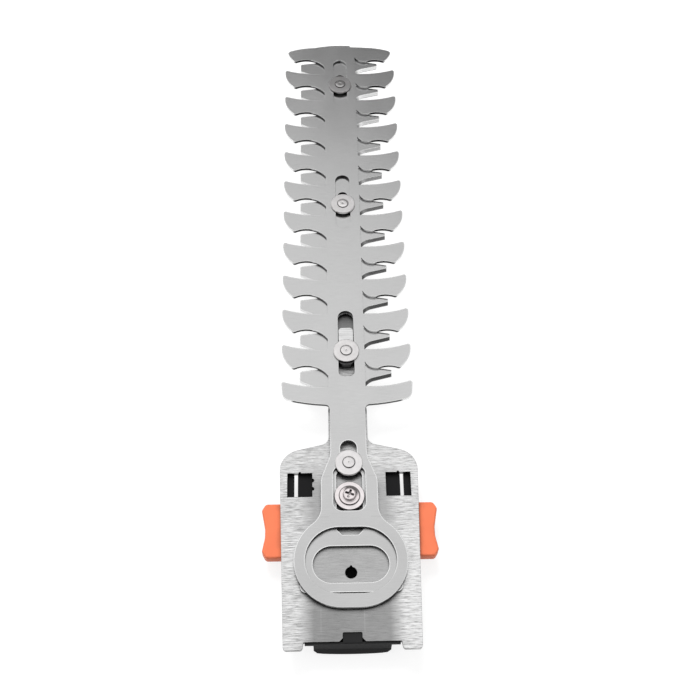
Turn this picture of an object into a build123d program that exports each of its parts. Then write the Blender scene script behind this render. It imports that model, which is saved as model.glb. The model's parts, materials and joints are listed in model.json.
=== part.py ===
from build123d import *
import os

# Hedge trimmer blade: a shrub blade cartridge that clips under a cordless trimmer.
# Two toothed blades slide on a guide bar, driven by the tool's two-step cam in their yokes.
# Frame: origin at the drive pilot hole, on the base plate's top face.
# +Y runs towards the blade's tip, +X to the right, +Z out of the face that meets the tool.
# Lengths are in millimetres. The blades stand where the photograph shows them.

# Thicknesses and running gaps
PLATE_T = 2.0             # base plate and guide bar
BLADE_T = 1.2             # each toothed blade
RUN_GAP = 0.05            # between faces that slide
FIT_GAP = 0.05            # between pieces that are assembled, such as a rivet in its hole

# Teeth shared by both blades
PITCH = 17.2              # from one tooth to the next
FIRST_ROW_Y = 77.9        # tip of the long teeth nearest the mount
LONG_ROWS = 11            # rows of hooked teeth, the end cross tooth apart
SPINE_HALF = 7.4          # half width of the blades between their teeth
OVERLAP = 2.4             # how far a tooth's outline reaches into the spine

# Long blunt teeth of the front blade, measured from the tooth's own tip
LONG_REACH = 26.1         # from the centre line to the tip
NOSE_R = 0.9              # rounding of the tip
HOOK_DIP = 2.35           # drop of the hollow upper edge below the tip
HOOK_START = 11.0         # where the hollow upper edge starts to rise
HEEL_REACH = 21.6         # from the centre line to the lower corner
HEEL_DROP = 10.95         # drop of the lower corner below the tip
HEEL_R = 0.6              # rounding of the lower corner
END_BULGE = 1.05          # how far the outer end bows out
ARCH_REACH = 16.0         # crest of the hollow lower edge
ARCH_RISE = 1.15          # height of that crest above the lower corner
RELIEF_ARCH_REACH = 17.0  # the same two for the right side
RELIEF_ARCH_RISE = 0.8
LEFT_ROOT_DROP = 14.4     # where the lower edge meets the spine on the left
RELIEF_START = 12.6       # inner end of the arch on the right
RELIEF_END = 11.8         # where the root relief on the right starts to turn up
RELIEF_DROP = 11.1        # level of the relief below the tip
RELIEF_RISE = 3.0         # height of the relief's upturned end

# End cross tooth of the front blade
CROWN_DROP = 1.2          # crest of the crowned end below the row's tip line
CROWN_REACH = 15.7        # where the crown starts to fall faster
CROWN_END_DROP = 2.0
CROWN_SLOPE = 0.102       # its slope there
SHOULDER_REACH = 23.6     # where the rounded corner starts
SHOULDER_DROP = 3.95      # and how far below the tip line
SHOULDER_SLOPE = 0.4
CORNER_REACH = 24.9       # outermost point of the end tooth
CORNER_DROP = 5.5
CORNER_BULGE = 0.35       # how far the end below it bows out

# Last tooth, next to the mount
LAST_SIDE_REACH = 25.7    # outer end, near its lower corner
LAST_SIDE_DROP = 5.2
LAST_CORNER_REACH = 23.2
LAST_CORNER_DROP = 8.1
LAST_EDGE_REACH = 8.6     # inner end of the lower edge
LAST_EDGE_DROP = 10.4
LAST_SAG = 0.35           # hollow of that edge
LAST_ROOT_R = 1.7         # fillet into the neck

# Short cutting teeth of the rear blade, measured from the long tip below them
RIGHT_END_REACH = 18.0
RIGHT_END_LOW = 3.1
RIGHT_END_HIGH = 5.6
RIGHT_LOW_REACH = 11.0    # where the straight lower edge ends
RIGHT_ROOT_LOW = 1.31
RIGHT_HIGH_REACH = 9.8    # where the straight upper edge ends
RIGHT_ROOT_HIGH = 7.15
RIGHT_WEB_LOW = -1.5      # where the root fillets meet the spine
RIGHT_WEB_HIGH = 8.8
EDGE_GRIND = 1.05         # ground band on the right teeth's lower edge
LEFT_END_REACH = 18.75
LEFT_END_LOW = 0.9
LEFT_END_HIGH = 5.3
LEFT_LOW_REACH = 14.0     # where the lower edge turns down to the spine
LEFT_ROOT_LOW = -1.4
LEFT_HIGH_REACH = 12.0    # where the upper edge turns up to it
LEFT_ROOT_HIGH = 6.2
LEFT_WEB_LOW = -5.2
LEFT_WEB_HIGH = 7.3
SHORT_CORNER_R = 0.8      # rounding of the left teeth's corners

# End of the rear blade, measured from the end tooth's tip line
NOSE_REACH = 14.5
NOSE_RISE = 0.9           # how far it shows past the crown
NOSE_STEP = 5.0           # where it steps down on the right
NOSE_SAG = -0.9           # bow of its left part
NOSE_LEFT_DROP = 1.0
NOSE_RIGHT_DROP = 2.1
NOSE_SIDE_DROP = 7.0

# Neck of the blades
NECK_HALF = 7.0           # front blade, between the teeth and the base plate
REAR_NECK_HALF = 6.8
WAIST_HALF = 10.7         # front blade, beside the screw
REAR_WAIST_HALF = 9.9
SLOPE_TOP_Y = 45.6        # neck starts to widen
SLOPE_END_Y = 35.9        # neck is at its full width
SLOPE_R = 9.0

# Drive yokes: a stadium slot each, for the two steps of the tool's cam
FRONT_SHIFT = 4.1         # front blade's place towards the tip, from mid stroke
REAR_SHIFT = 2.8          # rear blade's place towards the tip, from mid stroke
FRONT_SLOT_W = 33.4
FRONT_SLOT_H = 25.0
RING_W = 41.6             # outside of the front yoke
RING_H = 35.2
FLARE_R = 8.0
REAR_SLOT_W = 27.8
REAR_SLOT_H = 13.8
REAR_RING_HALF = 18.9     # at the rear yoke's lower corners
REAR_RING_WEB = 3.55      # below its slot
REAR_RING_R = 2.4
REAR_SHOULDER_HALF = 17.0
REAR_SHOULDER_Y = 6.0
REAR_SHOULDER_TOP = 15.2
REAR_SHOULDER_R = 8.4

# Rivets: three between the teeth and one in the neck
TIP_RIVET_ROWS = 9        # whole pitches from the first row to the rivet's row
TIP_RIVET_RISE = 7.2      # and its place above that row
MIDDLE_RIVET_ROWS = 5
MIDDLE_RIVET_RISE = 3.5
LOWER_RIVET_RISE = 13.85
NECK_RIVET_Y = 42.15
RIVET_R = 1.8
RIVET_HEAD_R = 2.35
RIVET_HEAD_H = 0.8
RIVET_TAIL_R = 2.5
RIVET_TAIL_H = 0.9
WASHER_R = 5.25
WASHER_T = 1.0
BUSH_R = 2.6              # round bush on the neck rivet
STEP_BUSH_R = 3.1         # stepped bushes: upper part, in the front blade's slot
STEP_BUSH_LOW_R = 2.2     # and lower part, in the rear blade's slot
BLOCK_HALF_W = 3.05       # guide block on the lower rivet
BLOCK_ABOVE = 11.45       # its ends above and below the rivet
BLOCK_BELOW = 6.15
BLOCK_TOP_R = 1.6
BLOCK_LOW_R = 2.1
BLOCK_SLOT_R = 2.1        # lower corners of its slot

# Slots in the toothed stretch
SLOT_HALF_W = 3.2
SLOT_ABOVE = 16.9         # slot end above its rivet, front blade
SLOT_BELOW = 12.9         # and below it, front blade
REAR_SLOT_HALF_W = 2.25   # rear blade's slots for the stepped bushes
REAR_SLOT_ABOVE = 8.2
REAR_SLOT_BELOW = 3.5
BLOCK_SLOT_ABOVE = 19.6   # the same for the guide block's slot
BLOCK_SLOT_BELOW = 11.45
REAR_BLOCK_SLOT_ABOVE = 19.1
REAR_BLOCK_SLOT_BELOW = 12.8
NECK_SLOT_TOP = 9.75      # above the neck rivet, both blades

# Screw that holds the cover and carries the rear blade's wide slot
SCREW_Y = 29.1
SCREW_R = 1.9
SCREW_FLANGE_R = 3.75
SCREW_FLANGE_H = 0.6
SCREW_HEAD_R = 2.5
SCREW_HEAD_H = 1.4
SCREW_LENGTH = 10.6
RECESS_W = 0.8            # width of the cross recess
RECESS_DEPTH = 1.1
SCREW_WASHER_R = 5.65
SCREW_WASHER_T = 0.9
SCREW_BUSH_R = 4.75
WIDE_HALF = 6.1           # front blade's wide slot
WIDE_LOW = 6.15           # its lower end below the screw
WIDE_HIGH = 12.1          # its upper end above the screw
WIDE_R = 3.4
REAR_WIDE_HALF = 4.9
REAR_WIDE_LOW = 15.1
REAR_WIDE_HIGH = 11.2
REAR_WIDE_R = 3.0
REAR_WIDE_CHAMFER = 1.9

# Base plate and guide bar
BAR_HALF = 7.0            # guide bar under the teeth
BAR_SHORT = 5.1           # how far the guide bar ends below the last row
BAR_END_R = 6.0
BAR_NECK_HALF = 7.6
BAR_STEP_Y = 66.0
BAR_STEP = 6.0            # length over which the bar narrows
SHOULDER_IN_Y = 51.9
SHOULDER_OUT_Y = 47.4
PLATE_HALF = 26.5
PLATE_CORNER_R = 8.5
NECK_FILLET_R = 3.2
REAR_HALF = 24.45
LEG_Y = -27.6
LEG_IN = 17.7
LEG_R = 1.2
REAR_Y = -24.9
NOTCH_HALF = 3.45
NOTCH_TOP_Y = -21.65
NOTCH_CHAMFER = 1.25
SMALL_R = 0.4
PILOT_R = 2.2
PILOT_NICK = 2.85         # tip of the small nick above the pilot hole's centre
PILOT_NICK_HALF = 0.9
WINDOW_IN = 13.95
WINDOW_OUT = 23.4
WINDOW_LOW = 29.7
WINDOW_HIGH = 39.45
WINDOW_BUMP_R = 0.5
WINDOW_BUMP_X = 18.7
WINDOW_NICK_R = 0.75
WINDOW_NICKS = (32.95, 36.4)         # on the left window's inner edge

# Latch slides and release buttons; the right one, the left is its mirror image
LATCH_IN = 12.0
LATCH_OUT = 23.95
LATCH_LOW = 27.6
LATCH_HIGH = 43.6
LATCH_T = 2.5
LATCH_R = 1.5
SLIT_X = 20.15
SLIT_W = 1.4
SLIT_LENGTH = 14.0
ARM_IN = 20.8
ARM_LOW = 8.0
TONGUE_Y = 16.0
TONGUE_HEAD = 8.0         # width of the tongue's head, along Y
TONGUE_NECK = 5.2
TONGUE_IN = 11.0
TONGUE_H = 4.6
PEG_LENGTH = 4.0
PEG_W = 6.0
PEG_H = 1.8
TRAVEL = 3.0              # how far a button presses in
BUTTON_LOW = 6.7
BUTTON_HIGH = 28.0
BUTTON_H = 4.6
BUTTON_TOP_REACH = 33.1   # outer end nearer the tip
BUTTON_WAIST = 31.7
BUTTON_LOW_REACH = 32.8
BUTTON_R = 1.5
WAIST_LOW = 14.2          # where the thumb face is level
WAIST_HIGH = 18.6
WAIST_R = 5.0
BUTTON_EDGE = 0.5
BACK_R = 1.0              # back corners, under the plate

# Springs behind the latches
SPRING_R = 1.8            # mean radius of the coil
WIRE_R = 0.3
SPRING_TURNS = 4
SPRING_SIDES = 12         # straight runs in each turn
POST_R = 1.2
POST_L = 1.4

# Black cover under the plate
COVER_HALF = 17.4
COVER_TOP_Y = 47.2
COVER_STEP_Y = -22.0
COVER_TAIL_HALF = 13.8
COVER_TAIL_Y = -25.6
TAIL_LIP = 0.8            # how far the tail's lower part leans out
TAIL_LIP_Z = -7.0         # where it starts to
TAIL_CHAMFER = 1.3        # along the tail's lower edges
COVER_DEPTH = 9.0         # below the plate's underside, at the centre line
CROWN_R = 54.0
COVER_EDGE_R = 1.6
COVER_NOSE_DEPTH = 3.4    # depth left at the end towards the tip
COVER_SLOPE_Y = 30.0      # where the underside starts to rise towards the tip
WALL = 2.0
FLOOR_Z = -7.0
BOSS_R = 4.2
POCKET_IN = 5.2
POCKET_GAP = 0.5
LIP_TOP = -0.4
TAB_TOP = -0.3

# Heights worked out from the thicknesses
REAR_Z = RUN_GAP
REAR_TOP = REAR_Z + BLADE_T
FRONT_Z = REAR_TOP + RUN_GAP
FRONT_TOP = FRONT_Z + BLADE_T
STACK = FRONT_TOP + RUN_GAP
END_ROW_Y = FIRST_ROW_Y + LONG_ROWS * PITCH
BAR_END_Y = END_ROW_Y - BAR_SHORT
TIP_RIVET_Y = FIRST_ROW_Y + TIP_RIVET_ROWS * PITCH + TIP_RIVET_RISE
MIDDLE_RIVET_Y = FIRST_ROW_Y + MIDDLE_RIVET_ROWS * PITCH + MIDDLE_RIVET_RISE
LOWER_RIVET_Y = FIRST_ROW_Y + LOWER_RIVET_RISE
RIVETS = {"tip": TIP_RIVET_Y, "middle": MIDDLE_RIVET_Y, "lower": LOWER_RIVET_Y, "neck": NECK_RIVET_Y}
BELOW = -PLATE_T
LATCH_TOP = BELOW - RUN_GAP


def block(x0, x1, y0, y1, z0, z1):
    """A box between two corners."""
    return Pos((x0 + x1) / 2, (y0 + y1) / 2, (z0 + z1) / 2) * Box(abs(x1 - x0), abs(y1 - y0), abs(z1 - z0))


def disc(radius, z0, z1, x=0.0, y=0.0):
    """An upright cylinder between two heights."""
    return Pos(x, y, (z0 + z1) / 2) * Cylinder(radius, z1 - z0)


def plate_of(face, z0, thickness):
    """A flat piece: the outline raised from z0."""
    return extrude(Pos(0, 0, z0) * face, amount=thickness, dir=(0, 0, 1))


def outline(points):
    """A closed outline from (x, y, corner radius) points."""
    radii = [p[2] for p in points]
    return make_face(FilletPolyline(*[(p[0], p[1]) for p in points], radius=radii, close=True))


def both_sides(points):
    """Right-hand points from top to bottom, then their mirror image from bottom to top."""
    return points + [(-x, y, r) for x, y, r in reversed(points)]


def stadium(width, height, y):
    """A slot with round ends, lying along X."""
    return Pos(0, y) * SlotOverall(width, height)


def upright_slot(half_width, low, high):
    """A slot with round ends, lying along Y."""
    return Pos(0, (low + high) / 2) * SlotOverall(high - low, 2 * half_width, rotation=90)


def heel(side_end):
    """Rounded lower corner of a long tooth, from its outer end round to the arch."""
    inner = (HEEL_REACH - HEEL_R, -HEEL_DROP)
    middle = (HEEL_REACH + HEEL_R * 0.15, -HEEL_DROP + HEEL_R * 0.3)
    return ThreePointArc(side_end, middle, inner), inner


def lower_edge(start, relief):
    """Hollow lower edge of a long tooth, back to the spine."""
    inside = SPINE_HALF - OVERLAP
    if not relief:
        crest = (ARCH_REACH, -HEEL_DROP + ARCH_RISE)
        root = (SPINE_HALF, -LEFT_ROOT_DROP)
        edges = [ThreePointArc(start, crest, root), Line(root, (inside, -LEFT_ROOT_DROP))]
        return edges, (inside, -LEFT_ROOT_DROP)
    crest = (RELIEF_ARCH_REACH, -HEEL_DROP + RELIEF_ARCH_RISE)
    turn = (RELIEF_START, -RELIEF_DROP)
    level = (RELIEF_END, -RELIEF_DROP)
    end = (SPINE_HALF, -RELIEF_DROP + RELIEF_RISE)
    edges = [ThreePointArc(start, crest, turn), Line(turn, level),
             TangentArc(level, end, tangent=(-1, 0)), Line(end, (inside, end[1]))]
    return edges, (inside, end[1])


def hooked_top():
    """Upper edge of a long tooth: level at the spine, then rising to the rounded tip."""
    inside = (SPINE_HALF - OVERLAP, -HOOK_DIP)
    start = (HOOK_START, -HOOK_DIP)
    tip = (LONG_REACH - NOSE_R, 0)
    side = (LONG_REACH, -NOSE_R)
    middle = (LONG_REACH - NOSE_R * 0.3, -NOSE_R * 0.3)
    return [Line(inside, start), TangentArc(start, tip, tangent=(1, 0)),
            ThreePointArc(tip, middle, side)], inside, side


def long_tooth(relief):
    """One hooked tooth on the right, with its tip at Y = 0."""
    edges, first, side = hooked_top()
    corner = (HEEL_REACH + HEEL_R, -HEEL_DROP + HEEL_R)
    middle = ((side[0] + corner[0]) / 2 + END_BULGE, (side[1] + corner[1]) / 2 - END_BULGE / 2)
    edges.append(ThreePointArc(side, middle, corner))
    arc, start = heel(corner)
    lower, last = lower_edge(start, relief)
    return make_face(edges + [arc] + lower + [Line(last, first)])


def end_tooth(relief):
    """Right half of the crowned cross tooth at the tip."""
    crest = (0, -CROWN_DROP)
    fall = (CROWN_REACH, -CROWN_END_DROP)
    shoulder = (SHOULDER_REACH, -SHOULDER_DROP)
    corner = (CORNER_REACH, -CORNER_DROP)
    low = (HEEL_REACH + HEEL_R, -HEEL_DROP + HEEL_R)
    edges = [TangentArc(crest, fall, tangent=(1, 0)), TangentArc(fall, shoulder, tangent=(1, -CROWN_SLOPE)),
             TangentArc(shoulder, corner, tangent=(1, -SHOULDER_SLOPE)),
             SagittaArc(corner, low, CORNER_BULGE)]
    arc, start = heel(low)
    lower, last = lower_edge(start, relief)
    return make_face(edges + [arc] + lower + [Line(last, (0, last[1])), Line((0, last[1]), crest)])


def last_tooth():
    """Broad tooth next to the mount, blended into the neck."""
    edges, first, side = hooked_top()
    flank = (LAST_SIDE_REACH, -LAST_SIDE_DROP)
    corner = (LAST_CORNER_REACH, -LAST_CORNER_DROP)
    inner = (LAST_EDGE_REACH, -LAST_EDGE_DROP)
    root = (NECK_HALF, -LAST_EDGE_DROP - LAST_ROOT_R)
    inside = (NECK_HALF - OVERLAP, root[1])
    edges += [Line(side, flank), TangentArc(flank, corner, tangent=(-0.1, -1)),
              SagittaArc(corner, inner, LAST_SAG), TangentArc(inner, root, tangent=(-1, -0.12)),
              Line(root, inside), Line(inside, (inside[0], first[1])), Line((inside[0], first[1]), first)]
    return make_face(edges)


def pair(right, left, y):
    """A right-hand outline and a mirrored left-hand one, at height y."""
    return [Pos(0, y) * right, Pos(0, y) * mirror(left, about=Plane.YZ)]


def neck_outline(top_y, bottom_y, half, waist):
    """Neck that widens towards the yoke."""
    return outline(both_sides([
        (half, top_y, SMALL_R), (half, SLOPE_TOP_Y, SLOPE_R), (waist, SLOPE_END_Y, SLOPE_R),
        (waist, bottom_y, SMALL_R)]))


def keyhole(half_width, low, high, corner_r, chamfer, slot_top):
    """Wide slot round the screw that runs on into the narrow slot of the neck rivet."""
    low_y = SCREW_Y - low
    high_y = SCREW_Y + high
    wide = outline(both_sides([(half_width, high_y, corner_r), (half_width, low_y, chamfer)]))
    return wide + upright_slot(SLOT_HALF_W, SCREW_Y, slot_top)


def block_slot(below, above):
    """Slot of the guide block: round at the top, with rounded corners at its lower end."""
    low = outline(both_sides([
        (SLOT_HALF_W, LOWER_RIVET_Y, SMALL_R), (SLOT_HALF_W, LOWER_RIVET_Y - below, BLOCK_SLOT_R)]))
    return low + upright_slot(SLOT_HALF_W, LOWER_RIVET_Y - 2 * SLOT_HALF_W, LOWER_RIVET_Y + above)


def front_blade():
    """Long hooked teeth, slots, keyhole and the larger drive yoke."""
    rows = [FIRST_ROW_Y + k * PITCH for k in range(1, LONG_ROWS)]
    teeth = pair(end_tooth(True), end_tooth(False), END_ROW_Y)
    teeth += pair(last_tooth(), last_tooth(), FIRST_ROW_Y)
    for y in rows:
        teeth += pair(long_tooth(True), long_tooth(False), y)
    low = FIRST_ROW_Y - HOOK_DIP - OVERLAP
    high = END_ROW_Y - 2 * OVERLAP
    spine = Pos(0, (low + high) / 2) * Rectangle(2 * SPINE_HALF, high - low)
    centre = FRONT_SHIFT
    ring = stadium(RING_W, RING_H, centre)
    neck = neck_outline(low + OVERLAP, centre, NECK_HALF, WAIST_HALF)
    yoke = neck + ring
    corners = [v for v in yoke.vertices() if abs(abs(v.X) - WAIST_HALF) < 0.01 and v.Y < SLOPE_END_Y - 5]
    yoke = fillet(corners, FLARE_R)
    face = yoke + spine + teeth
    face -= stadium(FRONT_SLOT_W, FRONT_SLOT_H, centre)
    face -= keyhole(WIDE_HALF, WIDE_LOW, WIDE_HIGH, WIDE_R, WIDE_R, NECK_RIVET_Y + NECK_SLOT_TOP)
    for y in (TIP_RIVET_Y, MIDDLE_RIVET_Y):
        face -= upright_slot(SLOT_HALF_W, y - SLOT_BELOW, y + SLOT_ABOVE)
    face -= block_slot(BLOCK_SLOT_BELOW, BLOCK_SLOT_ABOVE)
    return plate_of(face, FRONT_Z, BLADE_T)


def right_short_tooth():
    """Outline of a tapered cutting tooth with rounded roots, at Y = 0 on the long tip below it."""
    inside = SPINE_HALF - OVERLAP
    low_end = (RIGHT_END_REACH, RIGHT_END_LOW)
    high_end = (RIGHT_END_REACH, RIGHT_END_HIGH)
    low_root = (RIGHT_LOW_REACH, RIGHT_ROOT_LOW)
    high_root = (RIGHT_HIGH_REACH, RIGHT_ROOT_HIGH)
    low_web = (SPINE_HALF, RIGHT_WEB_LOW)
    high_web = (SPINE_HALF, RIGHT_WEB_HIGH)
    low_slope = (low_root[0] - low_end[0], low_root[1] - low_end[1])
    high_slope = (high_root[0] - high_end[0], high_root[1] - high_end[1])
    return make_face([
        Line(low_end, high_end), Line(high_end, high_root), TangentArc(high_root, high_web, tangent=high_slope),
        Line(high_web, (inside, RIGHT_WEB_HIGH)), Line((inside, RIGHT_WEB_HIGH), (inside, RIGHT_WEB_LOW)),
        Line((inside, RIGHT_WEB_LOW), low_web),
        TangentArc(low_root, low_web, tangent=low_slope), Line(low_root, low_end)])


def left_short_tooth():
    """Broader tooth of the left side, drawn on the right and mirrored where it is used."""
    inside = SPINE_HALF - OVERLAP
    return outline([
        (LEFT_END_REACH, LEFT_END_LOW, SHORT_CORNER_R), (LEFT_END_REACH, LEFT_END_HIGH, SHORT_CORNER_R),
        (LEFT_HIGH_REACH, LEFT_ROOT_HIGH, SHORT_CORNER_R), (SPINE_HALF, LEFT_WEB_HIGH, SMALL_R),
        (inside, LEFT_WEB_HIGH, SMALL_R), (inside, LEFT_WEB_LOW, SMALL_R),
        (SPINE_HALF, LEFT_WEB_LOW, SMALL_R), (LEFT_LOW_REACH, LEFT_ROOT_LOW, SHORT_CORNER_R)])


def rear_nose():
    """End of the rear blade, which shows a little past the front blade's crown."""
    y = END_ROW_Y
    inside = SPINE_HALF - OVERLAP
    left = (-NOSE_REACH, y - NOSE_LEFT_DROP)
    step = (NOSE_STEP, y + NOSE_RISE)
    under = (NOSE_STEP + NOSE_RISE, y - NOSE_R)
    right = (NOSE_REACH, y - NOSE_RIGHT_DROP)
    side = y - NOSE_SIDE_DROP
    foot = y - NOSE_SIDE_DROP - OVERLAP
    return make_face([
        SagittaArc(step, left, NOSE_SAG), Line(step, under), Line(under, right),
        Line(right, (NOSE_REACH, side)), Line((NOSE_REACH, side), (inside, foot)),
        Line((inside, foot), (-inside, foot)), Line((-inside, foot), (-NOSE_REACH, side)),
        Line((-NOSE_REACH, side), left)])


def ground_tooth(y):
    """Right tooth of the rear blade, raised, with the ground band along its lower edge and root."""
    tooth = plate_of(Pos(0, y) * right_short_tooth(), REAR_Z, BLADE_T)
    band = [e for e in tooth.edges().group_by(Axis.Z)[-1]
            if e.center().X > SPINE_HALF and e.center().Y < y + RIGHT_END_LOW]
    return chamfer(band, EDGE_GRIND)


def rear_blade():
    """Short cutting teeth, slots, keyhole and the smaller drive yoke."""
    rows = [FIRST_ROW_Y + k * PITCH for k in range(LONG_ROWS)]
    teeth = [Pos(0, y) * mirror(left_short_tooth(), about=Plane.YZ) for y in rows]
    low = FIRST_ROW_Y - HOOK_DIP - OVERLAP
    high = END_ROW_Y - OVERLAP - NOSE_R
    spine = Pos(0, (low + high) / 2) * Rectangle(2 * SPINE_HALF, high - low)
    slot_y = REAR_SHIFT
    foot = slot_y - REAR_SLOT_H / 2 - REAR_RING_WEB
    yoke = outline(both_sides([
        (REAR_SHOULDER_HALF, REAR_SHOULDER_TOP, REAR_SHOULDER_R),
        (REAR_SHOULDER_HALF, REAR_SHOULDER_Y, SMALL_R), (REAR_RING_HALF, foot, REAR_RING_R)]))
    neck = neck_outline(low + OVERLAP, REAR_SHOULDER_TOP - OVERLAP, REAR_NECK_HALF, REAR_WAIST_HALF)
    face = neck + yoke + spine + teeth + rear_nose()
    face -= stadium(REAR_SLOT_W, REAR_SLOT_H, slot_y)
    low_y, high_y = SCREW_Y - REAR_WIDE_LOW, SCREW_Y + REAR_WIDE_HIGH
    c = REAR_WIDE_CHAMFER
    wide = outline(both_sides([
        (REAR_WIDE_HALF, high_y, REAR_WIDE_R), (REAR_WIDE_HALF, low_y + c, 0.1), (REAR_WIDE_HALF - c, low_y, 0.1)]))
    face -= wide
    face -= upright_slot(SLOT_HALF_W, SCREW_Y, NECK_RIVET_Y + NECK_SLOT_TOP)
    for y in (TIP_RIVET_Y, MIDDLE_RIVET_Y):
        face -= upright_slot(REAR_SLOT_HALF_W, y - REAR_SLOT_BELOW, y + REAR_SLOT_ABOVE)
    face -= block_slot(REAR_BLOCK_SLOT_BELOW, REAR_BLOCK_SLOT_ABOVE)
    return plate_of(face, REAR_Z, BLADE_T) + [ground_tooth(y) for y in rows]


def window(side):
    """Window in the plate for one of the tool's hooks."""
    hole = block(side * WINDOW_IN, side * WINDOW_OUT, WINDOW_LOW, WINDOW_HIGH, BELOW - 1, 1)
    hole += disc(WINDOW_BUMP_R, BELOW - 1, 1, side * WINDOW_BUMP_X, WINDOW_HIGH)
    if side < 0:
        for y in WINDOW_NICKS:
            hole += disc(WINDOW_NICK_R, BELOW - 1, 1, side * WINDOW_IN, y)
    return hole


def base_plate():
    """Stamped plate with its legs, windows and holes, and the guide bar that carries the blades."""
    face = outline(both_sides([
        (BAR_HALF, BAR_END_Y, BAR_END_R), (BAR_HALF, BAR_STEP_Y + BAR_STEP, SMALL_R),
        (BAR_NECK_HALF, BAR_STEP_Y, SMALL_R), (BAR_NECK_HALF, SHOULDER_IN_Y, NECK_FILLET_R),
        (PLATE_HALF, SHOULDER_OUT_Y, PLATE_CORNER_R), (REAR_HALF, LEG_Y, LEG_R),
        (LEG_IN, LEG_Y, LEG_R), (LEG_IN - SMALL_R, REAR_Y, SMALL_R),
        (NOTCH_HALF + NOTCH_CHAMFER, REAR_Y, SMALL_R), (NOTCH_HALF, REAR_Y + NOTCH_CHAMFER, SMALL_R),
        (NOTCH_HALF, NOTCH_TOP_Y, SMALL_R)]))
    body = plate_of(face, BELOW, PLATE_T)
    for y in RIVETS.values():
        body -= disc(RIVET_R + FIT_GAP, BELOW - 1, 1, 0, y)
    body -= disc(SCREW_R + FIT_GAP, BELOW - 1, 1, 0, SCREW_Y)
    nick = make_face(Polyline((-PILOT_NICK_HALF, PILOT_R - PILOT_NICK_HALF / 2), (0, PILOT_NICK),
                              (PILOT_NICK_HALF, PILOT_R - PILOT_NICK_HALF / 2), (0, 0), close=True))
    body -= disc(PILOT_R, BELOW - 1, 1)
    body -= plate_of(nick, BELOW - 1, PLATE_T + 2)
    return body - window(1) - window(-1)


def guide_bush(y, low_r, high_r):
    """Bush that spaces a washer from the guide bar, with a radius for each blade's slot."""
    body = disc(low_r, 0, FRONT_Z, 0, y) + disc(high_r, FRONT_Z, STACK, 0, y)
    return body - disc(RIVET_R + FIT_GAP, -1, STACK + 1, 0, y)


def guide_block(y):
    """Long round-cornered block that keeps the blades straight."""
    face = outline(both_sides([(BLOCK_HALF_W, y + BLOCK_ABOVE, BLOCK_TOP_R),
                               (BLOCK_HALF_W, y - BLOCK_BELOW, BLOCK_LOW_R)]))
    return plate_of(face, 0, STACK) - disc(RIVET_R + FIT_GAP, -1, STACK + 1, 0, y)


def blade_washer(y):
    """Washer that holds the blades down on one bush."""
    top = STACK + WASHER_T
    return disc(WASHER_R, STACK, top, 0, y) - disc(RIVET_R + FIT_GAP, STACK - 1, top + 1, 0, y)


def blade_rivet(y):
    """Rivet with a low round head and a set tail under the guide bar."""
    top = STACK + WASHER_T
    head = disc(RIVET_HEAD_R, top, top + RIVET_HEAD_H, 0, y)
    head = chamfer(head.edges().group_by(Axis.Z)[-1], RIVET_HEAD_H * 0.45)
    tail = disc(RIVET_TAIL_R, BELOW - RIVET_TAIL_H, BELOW, 0, y)
    tail = chamfer(tail.edges().group_by(Axis.Z)[0], RIVET_TAIL_H * 0.4)
    return head + disc(RIVET_R, BELOW, top, 0, y) + tail


def screw_bush():
    """Bush that guides the rear blade's wide slot and keeps the washer clear of it."""
    top = REAR_TOP + RUN_GAP
    return disc(SCREW_BUSH_R, 0, top, 0, SCREW_Y) - disc(SCREW_R + FIT_GAP, -1, top + 1, 0, SCREW_Y)


def screw_washer():
    """Washer under the screw's head, inside the front blade's wide slot."""
    low = REAR_TOP + RUN_GAP
    top = low + SCREW_WASHER_T
    ring = disc(SCREW_WASHER_R, low, top, 0, SCREW_Y)
    return ring - disc(SCREW_R + FIT_GAP, low - 1, top + 1, 0, SCREW_Y)


def retaining_screw():
    """Flanged screw with a cross recess."""
    seat = REAR_TOP + RUN_GAP + SCREW_WASHER_T
    flange = disc(SCREW_FLANGE_R, seat, seat + SCREW_FLANGE_H, 0, SCREW_Y)
    head = disc(SCREW_HEAD_R, seat, seat + SCREW_FLANGE_H + SCREW_HEAD_H, 0, SCREW_Y)
    top = seat + SCREW_FLANGE_H + SCREW_HEAD_H
    head = chamfer(head.edges().group_by(Axis.Z)[-1], SCREW_HEAD_H * 0.45)
    body = flange + head + disc(SCREW_R, seat - SCREW_LENGTH, seat, 0, SCREW_Y)
    arm = SCREW_HEAD_R * 0.75
    for dx, dy in ((arm, RECESS_W / 2), (RECESS_W / 2, arm)):
        body -= block(-dx, dx, SCREW_Y - dy, SCREW_Y + dy, top - RECESS_DEPTH, top + 1)
    return body


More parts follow.
